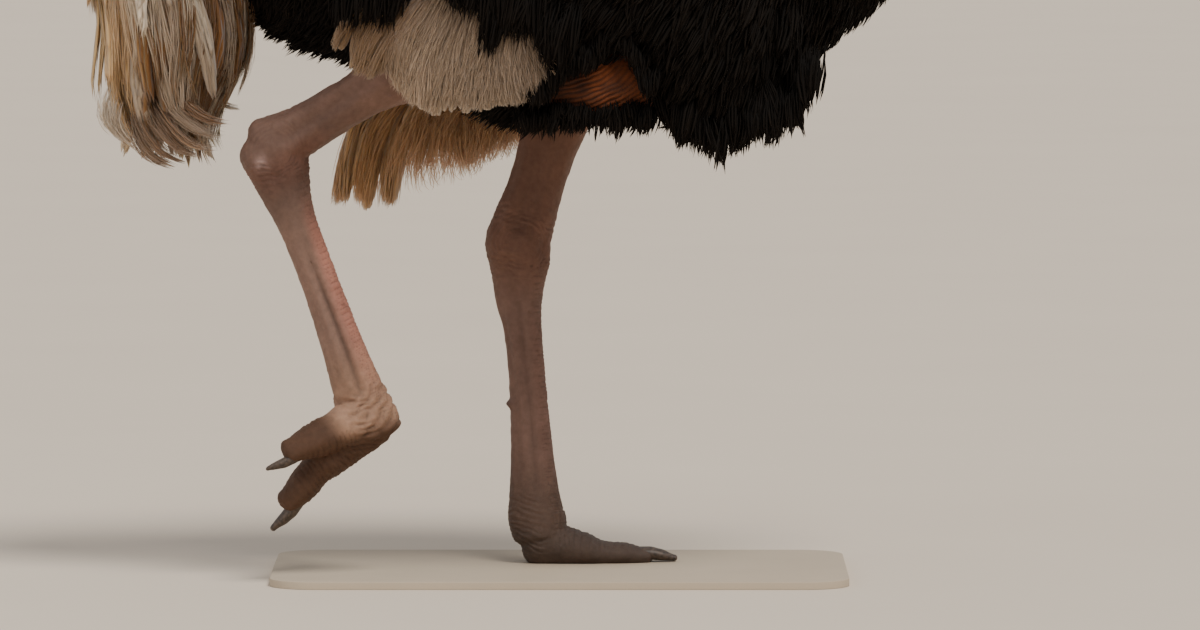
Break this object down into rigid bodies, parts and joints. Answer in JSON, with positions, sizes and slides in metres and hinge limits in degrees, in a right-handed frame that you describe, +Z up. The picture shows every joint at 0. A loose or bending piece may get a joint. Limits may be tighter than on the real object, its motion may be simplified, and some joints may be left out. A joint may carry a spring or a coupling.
{
  "type": "ostrich model",
  "caption": "Life-size walking male ostrich with black body plumage, pale wing and tail plumes, bare neck and legs, one foot lifted, on a flat display base.",
  "frame": {"origin": "middle of the base plate's underside, on the floor below the standing leg", "axes": "+X the way the bird walks, +Y its left, +Z up"},
  "size_m": [1.5948, 0.6, 2.37],
  "materials": {
    "black_feather": "soft loose black plumage with faint brown lights",
    "white_plume": "silky greyish cream plumes with ochre stains",
    "tail_plume": "curly cream, ochre and brown plumes",
    "neck_skin": "fine wrinkled pinkish grey skin under sparse pale down",
    "leg_skin": "wrinkled scaly mauve brown skin, pinker scutes down the front",
    "bill_horn": "matt worn horn",
    "claw": "dull dark horn",
    "eye": "wet dark brown eye",
    "stand": "matt sand paint on steel plate"
  },
  "bodies": {
    "root": {"trunk": "black_feather", "wing_left": "black_feather", "wing_right": "black_feather", "plumes_left": "white_plume", "plumes_right": "white_plume", "tail": "tail_plume", "neck_lower": "neck_skin", "neck_middle": "neck_skin", "neck_upper": "neck_skin", "head": "neck_skin", "bill_upper": "bill_horn", "bill_lower": "bill_horn", "eye_left": "eye", "eye_right": "eye", "stand_base": "stand", "shank_left": "leg_skin", "tarsus_left": "leg_skin", "toe_inner_left": "leg_skin", "toe_outer_left": "leg_skin", "claw_inner_left": "claw", "claw_outer_left": "claw", "shank_right": "leg_skin", "tarsus_right": "leg_skin", "toe_inner_right": "leg_skin", "toe_outer_right": "leg_skin", "claw_inner_right": "claw", "claw_outer_right": "claw"}
  },
  "joints": []
}
